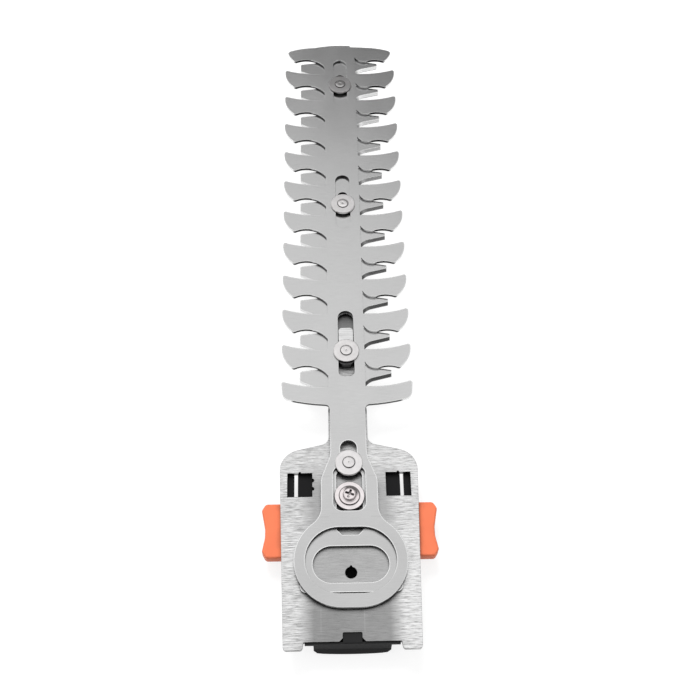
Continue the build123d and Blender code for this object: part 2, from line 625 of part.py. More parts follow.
def latch():
    """Right latch slide: hook plate with its slit, arm, stop tongue, spring post and button peg."""
    low = LATCH_TOP - LATCH_T
    plate = outline([(LATCH_IN, LATCH_LOW, LATCH_R), (LATCH_IN, LATCH_HIGH, LATCH_R),
                     (LATCH_OUT, LATCH_HIGH, LATCH_R), (LATCH_OUT, LATCH_LOW, SMALL_R)])
    body = plate_of(plate, low, LATCH_T)
    body += block(ARM_IN, LATCH_OUT, ARM_LOW, LATCH_LOW + LATCH_R, low, LATCH_TOP)
    tongue_low = LATCH_TOP - TONGUE_H
    head_out = COVER_HALF - WALL - RUN_GAP
    body += block(TONGUE_IN, head_out, TONGUE_Y - TONGUE_HEAD / 2, TONGUE_Y + TONGUE_HEAD / 2, tongue_low, LATCH_TOP)
    body += block(head_out - 1, ARM_IN + 1, TONGUE_Y - TONGUE_NECK / 2, TONGUE_Y + TONGUE_NECK / 2, low, LATCH_TOP)
    mid_z = (tongue_low + LATCH_TOP) / 2
    body += Pos(TONGUE_IN - POST_L / 2, TONGUE_Y, mid_z) * Rot(0, 90, 0) * Cylinder(POST_R, POST_L)
    peg_z = LATCH_TOP - LATCH_T / 2
    body += block(LATCH_OUT - 1, LATCH_OUT + PEG_LENGTH, TONGUE_Y - PEG_W / 2, TONGUE_Y + PEG_W / 2,
                  peg_z - PEG_H / 2, peg_z + PEG_H / 2)
    slit = (LATCH_LOW + LATCH_HIGH) / 2
    return body - block(SLIT_X - SLIT_W / 2, SLIT_X + SLIT_W / 2, slit - SLIT_LENGTH / 2,
                        slit + SLIT_LENGTH / 2, low - 1, LATCH_TOP + 1)


def button():
    """Right release button: waisted thumb face, rounded ends, socket for the latch's peg."""
    high_side = (BUTTON_TOP_REACH, BUTTON_HIGH - BUTTON_R * 1.6)
    low_side = (BUTTON_LOW_REACH, BUTTON_LOW + BUTTON_R * 1.6)
    face = outline([
        (LATCH_OUT, BUTTON_LOW, BACK_R), (LATCH_OUT, BUTTON_HIGH, BACK_R),
        (BUTTON_TOP_REACH - BUTTON_R, BUTTON_HIGH, BUTTON_R), (high_side[0], high_side[1], BUTTON_R),
        (BUTTON_WAIST, WAIST_HIGH, WAIST_R), (BUTTON_WAIST, WAIST_LOW, WAIST_R),
        (low_side[0], low_side[1], BUTTON_R), (BUTTON_LOW_REACH - BUTTON_R, BUTTON_LOW, BUTTON_R)])
    body = plate_of(face, LATCH_TOP - BUTTON_H, BUTTON_H)
    rims = body.edges().group_by(Axis.Z)[0] + body.edges().group_by(Axis.Z)[-1]
    body = chamfer(rims, BUTTON_EDGE)
    peg_z = LATCH_TOP - LATCH_T / 2
    return body - block(LATCH_OUT - 1, LATCH_OUT + PEG_LENGTH + FIT_GAP,
                        TONGUE_Y - PEG_W / 2 - FIT_GAP, TONGUE_Y + PEG_W / 2 + FIT_GAP,
                        peg_z - PEG_H / 2 - FIT_GAP, peg_z + PEG_H / 2 + FIT_GAP)


def spring():
    """Right compression spring: a coil of straight runs between the pocket's wall and the tongue."""
    low_x = POCKET_IN + FIT_GAP + WIRE_R
    length = TONGUE_IN - FIT_GAP - WIRE_R - low_x
    mid_z = LATCH_TOP - TONGUE_H / 2
    count = SPRING_TURNS * SPRING_SIDES
    points = []
    for k in range(count + 1):
        turn = Vector(0, SPRING_R, 0).rotate(Axis.X, 360 * k / SPRING_SIDES)
        points.append(Vector(low_x + length * k / count, TONGUE_Y, mid_z) + turn)
    path = Polyline(*points)
    section = Plane(origin=path @ 0, z_dir=path % 0) * RegularPolygon(WIRE_R, 6)
    return sweep(section, path=path, transition=Transition.RIGHT)


def cover_body():
    """Outer form of the cover: crowned across, rising towards the tip, with a narrower tail."""
    bottom = BELOW - COVER_DEPTH
    half = COVER_HALF
    edge = bottom + CROWN_R - (CROWN_R ** 2 - half ** 2) ** 0.5
    section = make_face([
        Line((-half, BELOW), (half, BELOW)), Line((half, BELOW), (half, edge)),
        ThreePointArc((half, edge), (0, bottom), (-half, edge)), Line((-half, edge), (-half, BELOW))])
    low = [v for v in section.vertices() if v.Y < BELOW - 0.1]
    section = fillet(low, COVER_EDGE_R)
    lip_y = COVER_TAIL_Y - TAIL_LIP
    length = COVER_TOP_Y - lip_y
    bar = extrude(Plane(origin=(0, lip_y, 0), x_dir=(1, 0, 0), z_dir=(0, -1, 0)) * section, amount=-length)
    side = make_face(FilletPolyline(
        (COVER_TAIL_Y, BELOW), (COVER_TAIL_Y, TAIL_LIP_Z), (lip_y, bottom + 1), (lip_y, bottom - 1),
        (COVER_SLOPE_Y, bottom - 1), (COVER_SLOPE_Y + 2, bottom), (COVER_TOP_Y, BELOW - COVER_NOSE_DEPTH),
        (COVER_TOP_Y, BELOW), radius=0.3, close=True))
    profile = extrude(Plane.YZ * side, amount=half + 1, both=True)
    body = bar & profile
    for sign in (1, -1):
        body -= block(sign * COVER_TAIL_HALF, sign * (half + 1), lip_y - 1, COVER_STEP_Y, bottom - 1, BELOW + 1)
    corners = [e for e in body.edges() if e.length > 1 and abs(abs(e.center().X) - COVER_TAIL_HALF) < 0.1
               and e.center().Y < COVER_STEP_Y and e.center().Z < TAIL_LIP_Z and abs((e % 0.5).Y) > 0.9]
    return chamfer(corners, TAIL_CHAMFER)


def cover():
    """Moulded cover with its cavities, latch channels, screw boss, rear lip and notch tab."""
    body = cover_body()
    inner = COVER_HALF - WALL
    pocket_low = TONGUE_Y - TONGUE_HEAD / 2 - POCKET_GAP
    pocket_high = TONGUE_Y + TONGUE_HEAD / 2 + POCKET_GAP
    body -= block(-inner, inner, COVER_STEP_Y + WALL, pocket_low - WALL, FLOOR_Z, BELOW + 1)
    body -= block(-inner, inner, pocket_high + WALL, COVER_TOP_Y - WALL, FLOOR_Z + 2.4, BELOW + 1)
    body += disc(BOSS_R, FLOOR_Z, BELOW, 0, SCREW_Y)
    body -= disc(SCREW_R + FIT_GAP / 2, REAR_TOP + SCREW_WASHER_T - SCREW_LENGTH - 0.5, BELOW + 1, 0, SCREW_Y)
    shelf = LATCH_TOP - LATCH_T - RUN_GAP
    neck = TONGUE_NECK / 2 + POCKET_GAP
    for sign in (1, -1):
        body -= block(sign * POCKET_IN, sign * inner, pocket_low, pocket_high, FLOOR_Z, BELOW + 1)
        body -= block(sign * (inner - 1), sign * (COVER_HALF + 1), TONGUE_Y - neck, TONGUE_Y + neck, shelf, BELOW + 1)
        body -= block(sign * (inner - 1), sign * (COVER_HALF + 1), LATCH_LOW - 1, LATCH_HIGH + POCKET_GAP, shelf, BELOW + 1)
    edge = LEG_IN - 2 * SMALL_R - FIT_GAP
    body += block(-edge, edge, COVER_TAIL_Y, REAR_Y - FIT_GAP, LIP_TOP - PLATE_T, LIP_TOP)
    half = NOTCH_HALF - FIT_GAP
    tab = outline(both_sides([(half, NOTCH_TOP_Y - FIT_GAP, SMALL_R), (half, REAR_Y - SMALL_R, 0.1)]))
    return body + plate_of(tab, BELOW - 1, TAB_TOP - BELOW + 1)


def mirrored(shape):
    """The left-hand twin of a right-hand piece."""
    return mirror(shape, about=Plane.YZ)


parts = {
    "base_plate": base_plate(),
    "front_blade": front_blade(),
    "rear_blade": rear_blade(),
    "guide_block": guide_block(LOWER_RIVET_Y),
    "retaining_screw": retaining_screw(),
    "screw_washer": screw_washer(),
    "screw_bush": screw_bush(),
    "cover": cover(),
    "right_latch": latch(),
    "left_latch": mirrored(latch()),
    "right_button": button(),
    "left_button": mirrored(button()),
    "right_spring": spring(),
    "left_spring": mirrored(spring()),
}
for name, y in RIVETS.items():
    parts[name + "_rivet"] = blade_rivet(y)
    parts[name + "_washer"] = blade_washer(y)
parts["neck_bush"] = guide_bush(NECK_RIVET_Y, BUSH_R, BUSH_R)
for name in ("tip", "middle"):
    parts[name + "_bush"] = guide_bush(RIVETS[name], STEP_BUSH_LOW_R, STEP_BUSH_R)

os.makedirs("parts", exist_ok=True)
for name, shape in parts.items():
    export_step(shape, f"parts/{name}.step")
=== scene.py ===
import json
import math

import bpy
import numpy as np
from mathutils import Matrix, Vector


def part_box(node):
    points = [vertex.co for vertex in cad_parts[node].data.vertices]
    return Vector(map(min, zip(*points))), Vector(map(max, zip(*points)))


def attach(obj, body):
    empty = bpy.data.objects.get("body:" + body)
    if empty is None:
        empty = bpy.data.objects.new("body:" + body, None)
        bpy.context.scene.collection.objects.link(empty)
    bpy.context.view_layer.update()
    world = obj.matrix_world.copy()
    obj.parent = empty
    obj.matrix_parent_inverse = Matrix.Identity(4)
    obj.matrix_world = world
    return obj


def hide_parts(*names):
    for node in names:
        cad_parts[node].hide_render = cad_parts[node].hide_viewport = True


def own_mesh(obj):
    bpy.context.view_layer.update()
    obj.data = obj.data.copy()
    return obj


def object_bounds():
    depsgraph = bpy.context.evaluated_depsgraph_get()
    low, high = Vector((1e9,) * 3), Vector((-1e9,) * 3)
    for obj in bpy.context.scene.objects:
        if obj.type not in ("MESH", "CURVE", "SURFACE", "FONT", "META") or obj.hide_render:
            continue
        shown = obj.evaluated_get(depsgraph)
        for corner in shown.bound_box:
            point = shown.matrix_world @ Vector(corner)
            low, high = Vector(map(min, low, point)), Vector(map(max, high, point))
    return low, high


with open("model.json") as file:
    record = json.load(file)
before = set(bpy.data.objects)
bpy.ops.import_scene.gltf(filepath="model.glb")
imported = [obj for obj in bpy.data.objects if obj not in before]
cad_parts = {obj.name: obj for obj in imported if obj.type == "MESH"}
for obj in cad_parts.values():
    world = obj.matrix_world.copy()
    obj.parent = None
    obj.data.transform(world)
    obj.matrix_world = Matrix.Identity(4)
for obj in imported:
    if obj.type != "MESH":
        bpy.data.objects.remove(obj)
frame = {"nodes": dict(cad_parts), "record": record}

cad_box = [list(corner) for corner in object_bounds()]
BODY_OF = {node: body for body, held in frame["record"]["behaviour"]["bodies"].items() for node in held}
MM = 0.001

NOISE_MIDDLE = (0.3, 0.7)           # where most of the noise lies
OCCLUSION_SAMPLES = 12
RIM_SAMPLES = 8
EDGE_SAMPLES = 6
TIP_LEAN = 1.1

# Greys of the steels: on the edges of the sheet, and on its level faces
BLADE_GREYS = (0.72, 0.64)
PLATE_GREYS = (0.5, 1.0)

# Soft borders, each from and to, in metres
TEETH_START = (0.07, 0.075)         # along Y: below it is the bare neck
FRONT_BLADE = (0.00126, 0.00129)    # along Z: under it is the rear blade
# Borders of the painted shade on the plate seen in the lower slot
ABOVE_WASHER = (0.094, 0.118)       # along Y: the plate in the lower slot, above the lower washer
BELOW_WASHER = (0.07, 0.09)         # along Y: the plate in the same slot, below that washer
SLOT_BORDER = 0.004

# Fine marks, in metres
PRESS_MARKS = ((0.0369, 0.0068, 0.0108), (0.0206, 0.0075, 0.0135))      # Y, and from and to beside the middle
SCORED_LEFT = 0.01105               # how far from the middle, to the left
SCORED_RIGHT = 0.0044               # and to the right

# Light, 1 being white, and the ceiling's borders as slopes from straight up
CEILING_EDGE = 0.93
CEILING_TURN = 0.6
CEILING_SIDES = (1.3, 1.9)
CEILING_BACK = (0.98, 1.12)
CEILING_LIGHT = 0.98
ROOM_LIGHT = 0.12
BACKDROP_TOP = (0.1, 0.22)
FLOOR_HALF = 4.0
FLOOR_GAP = 0.0004
FLOOR_GLOW = 0.8


# Node trees

def add(tree, kind, sockets=(), **settings):
    """One node, with its settings and the values or links of its sockets."""
    made = tree.nodes.new(kind)
    for key, value in settings.items():
        setattr(made, key, value)
    for key, value in dict(sockets).items():
        if isinstance(value, bpy.types.NodeSocket):
            tree.links.new(value, made.inputs[key])
        else:
            made.inputs[key].default_value = value
    return made


def worked(tree, operation, first, second=0.0):
    """One step of arithmetic."""
    return add(tree, "ShaderNodeMath", {0: first, 1: second}, operation=operation).outputs[0]


def product(tree, first, *others):
    """Values multiplied together."""
    for other in others:
        first = worked(tree, "MULTIPLY", first, other)
    return first


def most(tree, first, *others):
    """The largest of several values."""
    for other in others:
        first = worked(tree, "MAXIMUM", first, other)
    return first


def added(tree, first, second):
    """Two values added."""
    return worked(tree, "ADD", first, second)


def size_of(tree, value):
    """A value without its sign."""
    return worked(tree, "ABSOLUTE", value)


def span(tree, value, low, high, out_low, out_high):
    """A value carried from one range to another and held inside it."""
    return add(tree, "ShaderNodeMapRange", {"Value": value, "From Min": low, "From Max": high,
                                            "To Min": out_low, "To Max": out_high}).outputs["Result"]


def rising(tree, value, low, high):
    """0 below a border, 1 above it."""
    return span(tree, value, low, high, 0.0, 1.0)


def falling(tree, value, low, high):
    """1 below a border, 0 above it."""
    return span(tree, value, low, high, 1.0, 0.0)


def swing(tree, noise, low, high):
    """Noise carried to a range."""
    return span(tree, noise, *NOISE_MIDDLE, low, high)


def between(tree, mask, off, on):
    """The value off where a mask is 0, on where it is 1."""
    return span(tree, mask, 0.0, 1.0, off, on)


def within(tree, value, low, high, soft):
    """1 between two values, falling to 0 over a soft border outside them."""
    return product(tree, rising(tree, value, low - soft, low), falling(tree, value, high, high + soft))


def mixed(tree, amount, first, second):
    """A value between two values."""
    return add(tree, "ShaderNodeMix", {0: amount, 2: first, 3: second}, data_type="FLOAT").outputs[0]


def grey_mix(tree, amount, first, second):
    """A grey between two greys."""
    made = add(tree, "ShaderNodeMix", {0: amount}, data_type="RGBA")
    made.inputs[6].default_value = (first, first, first, 1)
    made.inputs[7].default_value = (second, second, second, 1)
    return made.outputs[2]


def object_axes(tree):
    """X, Y and Z of the point on the piece, in metres."""
    spot = add(tree, "ShaderNodeTexCoord").outputs["Object"]
    return tuple(add(tree, "ShaderNodeSeparateXYZ", {0: spot}).outputs)


def facing_axes(tree):
    """X, Y and Z of the way that the flat face looks."""
    facing = add(tree, "ShaderNodeNewGeometry").outputs["True Normal"]
    return tuple(add(tree, "ShaderNodeSeparateXYZ", {0: facing}).outputs)


def cloud(tree, stretch, detail=3.0, rough=0.55):
    """Noise from 0 to 1 on Object coordinates, stretched along each axis (cells for each metre)."""
    spot = add(tree, "ShaderNodeTexCoord").outputs["Object"]
    stretched = add(tree, "ShaderNodeMapping", {"Vector": spot, "Scale": stretch}).outputs["Vector"]
    return add(tree, "ShaderNodeTexNoise", {"Vector": stretched, "Scale": 1.0, "Detail": detail,
                                            "Roughness": rough}).outputs["Fac"]


# Parts of the finishes

def new_finish(name, metallic, roughness):
    """An empty material with its shader."""
    material = bpy.data.materials.new(name)
    material.use_nodes = True
    tree = material.node_tree
    shader = tree.nodes["Principled BSDF"]
    shader.inputs["Metallic"].default_value = metallic
    shader.inputs["Roughness"].default_value = roughness
    return material, tree, shader


def coloured(tree, shader, colour, tone):
    """Base colour: a plain colour, or a socket's, made lighter or darker by a tone."""
    if not isinstance(colour, bpy.types.NodeSocket):
        plain = add(tree, "ShaderNodeRGB").outputs[0]
        plain.default_value = colour + (1,)
        colour = plain
    made = add(tree, "ShaderNodeVectorMath", {0: colour}, operation="SCALE")
    tree.links.new(tone, made.inputs["Scale"])
    tree.links.new(made.outputs[0], shader.inputs["Base Color"])


def relief(tree, shader, height, depth, edge=0.0):
    """Raised grain of a given depth in metres, over edges that are broken by a small radius where one is given."""
    sockets = {"Height": height, "Strength": 1.0, "Distance": depth}
    if edge:
        sockets["Normal"] = add(tree, "ShaderNodeBevel", {"Radius": edge}, samples=EDGE_SAMPLES).outputs["Normal"]
    bump = add(tree, "ShaderNodeBump", sockets)
    tree.links.new(bump.outputs["Normal"], shader.inputs["Normal"])


def up_facing(tree):
    """1 on faces that look up or down, 0 on the edges of sheet metal."""
    normal = add(tree, "ShaderNodeNewGeometry").outputs["Normal"]
    level = add(tree, "ShaderNodeSeparateXYZ", {0: normal}).outputs["Z"]
    return rising(tree, size_of(tree, level), 0.25, 0.6)


def nearness(tree, level, reach, side_reach):
    """How open a point is: 1 in the open, less beside a step or under another piece.

    It looks along the face's normal on edges; on level faces it leans towards the blade's tip, where the
    light comes from. The finishes darken their colours by it, as painted shade.
    """
    normal = add(tree, "ShaderNodeNewGeometry").outputs["Normal"]
    lean = add(tree, "ShaderNodeCombineXYZ", {"Y": product(tree, level, TIP_LEAN)}).outputs[0]
    leaning = add(tree, "ShaderNodeVectorMath", {0: normal, 1: lean}, operation="ADD").outputs[0]
    distance = mixed(tree, level, side_reach, reach)
    return add(tree, "ShaderNodeAmbientOcclusion", {"Normal": leaning, "Distance": distance},
               samples=OCCLUSION_SAMPLES).outputs["AO"]


def rounded_normal(tree, radius):
    """The normal as if the piece's edges were rounded by a radius."""
    return add(tree, "ShaderNodeBevel", {"Radius": radius}, samples=RIM_SAMPLES).outputs["Normal"]


def highlight_rim(tree, radius):
    """1 on the narrow rim where a face turns over a sharp outer edge."""
    own = add(tree, "ShaderNodeNewGeometry").outputs["True Normal"]
    along = add(tree, "ShaderNodeVectorMath", {0: rounded_normal(tree, radius), 1: own}, operation="DOT_PRODUCT")
    return falling(tree, along.outputs["Value"], 0.9, 0.995)


def rim_ahead(tree, radius):
    """1 on the narrow rims that look to the tip."""
    ahead = add(tree, "ShaderNodeSeparateXYZ", {0: rounded_normal(tree, radius)}).outputs["Y"]
    return rising(tree, ahead, 0.08, 0.3)


def line_across(tree, where, low, high):
    """1 on a hair line across the blade at Y = where, between two distances from its middle."""
    x, y, _ = object_axes(tree)
    off = size_of(tree, worked(tree, "SUBTRACT", y, where))
    side = size_of(tree, x)
    soft = 0.0005
    inside = product(tree, rising(tree, side, low, low + soft), falling(tree, side, high, high + soft))
    return product(tree, falling(tree, off, 0.00008, 0.0003), inside)


# The blades' finish

def unshaded_edges(tree):
    """1 on the edges left bright, 0 on those that get painted shade, near black.

    Bright are the outer ends of the teeth, the outside of the yoke, the straight sides along the blade, the
    right-hand roots near the tip and all left-hand edges of the rear blade.
    """
    x, y, z = object_axes(tree)
    side = size_of(tree, x)
    tooth_ends = rising(tree, side, 0.0212, 0.0222)
    yoke_foot = falling(tree, y, -0.0125, -0.0115)
    yoke_flank = product(tree, rising(tree, side, 0.0185, 0.0195), falling(tree, y, 0.028, 0.03))
    tip_roots = product(tree, rising(tree, x, 0.005, 0.0055), span(tree, x, 0.0092, 0.0102, 0.7, 0.0),
                        rising(tree, y, 0.19, 0.205))
    sideways = size_of(tree, facing_axes(tree)[0])
    straight = product(tree, span(tree, sideways, 0.9, 0.98, 0.0, 0.8), rising(tree, y, 0.036, 0.04))
    rear_left = product(tree, falling(tree, z, *FRONT_BLADE), span(tree, x, -0.006, -0.004, 0.9, 0.0),
                        rising(tree, y, *TEETH_START))
    return most(tree, tooth_ends, yoke_foot, yoke_flank, tip_roots, straight, rear_left)


def broken_upper_edges(tree, front, toothed):
    """1 on the upper part of the front blade's edges, between and beside its teeth, which stays bright from the
    shear; the lower part of these edges gets painted shade.
    """
    x, y, z = object_axes(tree)
    side = size_of(tree, x)
    torn = mixed(tree, rising(tree, x, 0.0, 0.001), span(tree, z, 0.00195, 0.0021, 0.0, 0.85),
                 span(tree, z, 0.00144, 0.00152, 0.0, 0.8))
    tooth_sides = product(tree, within(tree, side, 0.0052, 0.0135, 0.0005), toothed)
    tip_slot = product(tree, falling(tree, side, 0.0045, 0.005), rising(tree, y, 0.2, 0.21))
    return product(tree, torn, front, most(tree, tooth_sides, tip_slot))


def level_tone(tree, open_to, front, toothed):
    """Tone of the blades' level faces: painted shade where they are closed in, painted highlights on the narrow
    rims.

    The shade is left out on the right of the toothed stretch, and is weaker on its left and near the tip.
    """
    x, y, _ = object_axes(tree)
    unshaded = mixed(tree, rising(tree, x, 0.0055, 0.0075), span(tree, x, -0.0075, -0.0055, 0.5, 0.0), 1.0)
    unshaded = most(tree, product(tree, unshaded, toothed), span(tree, y, 0.2, 0.25, 0.0, 0.55))
    darkest = mixed(tree, unshaded, span(tree, y, 0.03, 0.04, 0.2, 0.45), 1.0)
    # Painted shade where the level face is closed in.
    tone = mixed(tree, rising(tree, open_to, 0.3, 0.62), darkest, 1.0)

    # Painted highlight on the narrow rims: strongest at the tooth ends, faded on the front yoke.
    tooth_gain = span(tree, size_of(tree, x), 0.009, 0.012, 0.12, 0.4)
    gain = mixed(tree, rising(tree, y, 0.05, 0.06), 0.85, tooth_gain)
    yoke_fade = mixed(tree, front, 1.0, span(tree, y, -0.004, 0.003, 0.15, 0.8))
    gain = product(tree, highlight_rim(tree, 0.0008), gain, yoke_fade)
    tone = product(tree, tone, added(tree, 1.0, gain))

    # Painted shade: a dark line along the rims of the rear blade's right-hand teeth that look to the tip.
    rear_right = product(tree, falling(tree, front, 0.0, 1.0), rising(tree, x, 0.008, 0.01))
    dark_rim = product(tree, rim_ahead(tree, 0.0014), toothed, rear_right)
    tone = mixed(tree, dark_rim, tone, 0.12)

    # Painted reflection on the cutting bevels: darker along most of the blade, brighter near the tip.
    _, facing_y, facing_z = facing_axes(tree)
    cutting_bevel = product(tree, falling(tree, facing_y, -0.3, -0.2), rising(tree, facing_z, 0.2, 0.3))
    return product(tree, tone, mixed(tree, cutting_bevel, 1.0, span(tree, y, 0.17, 0.225, 0.66, 1.5)))


def blade_finish():
    """Ground blade steel: fine cross grain and soft clouds; bright edges, painted shade on the other edges and in
    the tight places.
    """
    material, tree, shader = new_finish("ground_blade_steel", 1.0, 0.22)
    grain = cloud(tree, (260.0, 5200.0, 900.0), 4.0, 0.6)
    soft = cloud(tree, (55.0, 40.0, 40.0), 2.0, 0.5)
    mottle = added(tree, swing(tree, grain, -0.04, 0.04), swing(tree, soft, 0.95, 1.03))
    _, y, z = object_axes(tree)
    level = up_facing(tree)
    open_to = nearness(tree, level, 0.002, 0.0045)
    toothed = rising(tree, y, *TEETH_START)
    front = rising(tree, z, *FRONT_BLADE)

    # Edges: bright where listed, near black elsewhere as painted shade, and darker where closed in, as painted
    # shade.
    bright = most(tree, unshaded_edges(tree), broken_upper_edges(tree, front, toothed))
    edge_light = product(tree, bright, span(tree, open_to, 0.42, 0.6, 0.5, 1.0))
    edge_tone = between(tree, edge_light, 0.05, 1.1)
    shade = mixed(tree, level, edge_tone, level_tone(tree, open_to, front, toothed))
    shade = product(tree, shade, span(tree, y, 0.005, 0.05, 0.91, 1.0))
    marks = added(tree, *[line_across(tree, *mark) for mark in PRESS_MARKS])
    shade = product(tree, shade, between(tree, marks, 1.0, 0.92))

    steel = grey_mix(tree, level, *BLADE_GREYS)
    coloured(tree, shader, steel, product(tree, mottle, shade))
    tree.links.new(swing(tree, soft, 0.2, 0.25), shader.inputs["Roughness"])
    relief(tree, shader, grain, 0.000008, 0.00018)
    return material


# The other finishes

def plate_base(tree, worn):
    """Tone of the plate before its streaks: bright along both sides and towards the blades, with painted shade where
    it shows through the slots, and painted light a little stronger on the right.
    """
    x, y, _ = object_axes(tree)
    # Darker in the middle towards the foot; painted shade past Y 0.06, where the plate shows through the slots.
    middle = worked(tree, "SUBTRACT", span(tree, y, -0.014, -0.006, 0.35, 0.5), span(tree, y, 0.06, 0.07, 0.0, 0.16))
    base = mixed(tree, worn, middle, 0.82)
    # Painted shade on the plate seen in the lower slot, darkest above the lower washer.
    above = within(tree, y, *ABOVE_WASHER, SLOT_BORDER)
    base = mixed(tree, above, base, span(tree, y, 0.098, 0.108, 0.33, 0.2))
    base = mixed(tree, within(tree, y, *BELOW_WASHER, SLOT_BORDER), base, 0.56)
    # Painted light: a little darker on the left, lighter on the right.
    return product(tree, base, span(tree, x, -0.02, 0.02, 0.97, 1.08))


def scored_lines(tree):
    """1 on two hair lines scored along the plate's foot, one on each side of the middle."""
    x, y, _ = object_axes(tree)
    left = size_of(tree, added(tree, x, SCORED_LEFT))
    right = size_of(tree, worked(tree, "SUBTRACT", x, SCORED_RIGHT))
    line = falling(tree, worked(tree, "MINIMUM", left, right), 0.00005, 0.0002)
    return product(tree, line, rising(tree, y, -0.0225, -0.0215), falling(tree, y, -0.014, -0.012))


def plate_finish():
    """Plate steel brushed from side to side: fine streaks, strong along both sides and faint in the middle; painted
    shade beside steps and under the pieces over it.
    """
    material, tree, shader = new_finish("cross_brushed_steel", 1.0, 0.3)
    fine = cloud(tree, (240.0, 3900.0, 400.0), 2.0, 0.7)
    coarse = cloud(tree, (90.0, 2100.0, 300.0), 3.0, 0.65)
    soft = cloud(tree, (45.0, 60.0, 60.0), 2.0, 0.5)
    x, y, _ = object_axes(tree)
    level = up_facing(tree)
    worn = most(tree, rising(tree, size_of(tree, x), 0.0135, 0.0195), span(tree, y, 0.034, 0.044, 0.0, 0.85))

    streaks = added(tree, span(tree, fine, 0.36, 0.62, -0.46, 0.32), span(tree, coarse, 0.36, 0.64, -0.2, 0.14))
    strength = product(tree, mixed(tree, worn, 0.35, 1.0), span(tree, y, 0.09, 0.095, 1.0, 0.3))
    mottle = added(tree, product(tree, streaks, strength), swing(tree, soft, 0.93, 1.05))
    tone = product(tree, plate_base(tree, worn), mottle)

    # Painted shade where the point is closed in: beside steps, under the blades and round the washers.
    open_to = nearness(tree, level, 0.0045, 0.0045)
    top = span(tree, open_to, 0.22, 0.66, 0.16, 1.0)
    walls = span(tree, open_to, 0.5, 0.75, 0.1, 1.0)
    shade = product(tree, mixed(tree, level, walls, top), between(tree, scored_lines(tree), 1.0, 1.22))

    steel = grey_mix(tree, level, *PLATE_GREYS)
    coloured(tree, shader, steel, product(tree, tone, shade))
    tree.links.new(swing(tree, fine, 0.24, 0.4), shader.inputs["Roughness"])
    relief(tree, shader, fine, 0.00002, 0.0003)
    return material


def block_finish():
    """Block ground from side to side: bright with fine streaks, with painted shade where it is closed in and at its
    lower end under the washer.
    """
    material, tree, shader = new_finish("ground_block_steel", 1.0, 0.3)
    streak = cloud(tree, (140.0, 4200.0, 600.0), 4.0, 0.7)
    open_to = nearness(tree, up_facing(tree), 0.002, 0.002)
    y = object_axes(tree)[1]
    # Painted shade: closed-in places and the lower end under the washer.
    tone = product(tree, swing(tree, streak, 0.78, 1.25), span(tree, open_to, 0.4, 0.7, 0.06, 1.0),
                   span(tree, y, 0.0882, 0.0892, 0.14, 1.0))
    coloured(tree, shader, (0.83, 0.83, 0.83), tone)
    relief(tree, shader, streak, 0.000015)
    return material


def wire_finish(name, colour, roughness):
    """Drawn spring wire: faint mottling and tiny dings."""
    material, tree, shader = new_finish(name, 1.0, roughness)
    fine = cloud(tree, (2600.0, 2600.0, 1600.0), 3.0, 0.6)
    soft = cloud(tree, (260.0, 260.0, 260.0), 2.0, 0.5)
    tone = added(tree, swing(tree, fine, -0.05, 0.05), swing(tree, soft, 0.93, 1.06))
    coloured(tree, shader, colour, tone)
    relief(tree, shader, fine, 0.00001)
    return material


def turned_finish(name, colour, roughness, seat=0.0):
    """Turned steel: fine rings round the piece's own axis, with a ring of painted shade where a head sits on it at
    radius seat.

    It reads the piece's own attribute "turn", and has painted shade where it is closed in and towards the blade's
    tip.
    """
    material, tree, shader = new_finish(name, 1.0, roughness)
    turn = add(tree, "ShaderNodeAttribute", attribute_name="turn").outputs["Vector"]
    stretched = add(tree, "ShaderNodeMapping", {"Vector": turn, "Scale": (9000.0, 0.35, 900.0)}).outputs["Vector"]
    ring = add(tree, "ShaderNodeTexNoise", {"Vector": stretched, "Scale": 1.0, "Detail": 3.0,
                                            "Roughness": 0.6}).outputs["Fac"]
    soft = cloud(tree, (420.0, 420.0, 420.0), 2.0, 0.5)
    mottle = added(tree, swing(tree, ring, -0.08, 0.06), swing(tree, soft, 0.93, 1.05))
    open_to = nearness(tree, up_facing(tree), 0.0012, 0.0012)
    y = object_axes(tree)[1]
    radius = add(tree, "ShaderNodeSeparateXYZ", {0: turn}).outputs["X"]
    from_seat = size_of(tree, worked(tree, "SUBTRACT", radius, seat))
    # Painted shade: closed-in places, towards the blade's tip, and the ring where a head sits.
    tone = product(tree, mottle, span(tree, open_to, 0.4, 0.78, 0.15, 1.0), span(tree, y, 0.19, 0.24, 1.0, 0.6),
                   span(tree, from_seat, 0.0001, 0.00024, 0.2, 1.0))
    coloured(tree, shader, colour, tone)
    relief(tree, shader, ring, 0.000015)
    return material


def moulded_finish(name, colour, roughness, grain_depth, gloss):
    """Moulded plastic: fine spark-eroded grain, a faint change of tone, painted shade where it is closed in, and
    edges rounded by the mould.
    """
    material, tree, shader = new_finish(name, 0.0, roughness)
    shader.inputs["Specular IOR Level"].default_value = gloss
    fine = cloud(tree, (3400.0, 3400.0, 3400.0), 2.0, 0.5)
    soft = cloud(tree, (90.0, 90.0, 90.0), 2.0, 0.5)
    open_to = nearness(tree, up_facing(tree), 0.003, 0.003)
    # Painted shade where the point is closed in.
    tone = product(tree, swing(tree, soft, 0.94, 1.05), span(tree, open_to, 0.3, 0.8, 0.55, 1.0))
    coloured(tree, shader, colour, tone)
    tree.links.new(swing(tree, fine, roughness - 0.05, roughness + 0.08), shader.inputs["Roughness"])
    relief(tree, shader, fine, grain_depth, 0.0003)
    return material


# Surfaces worked out on grids

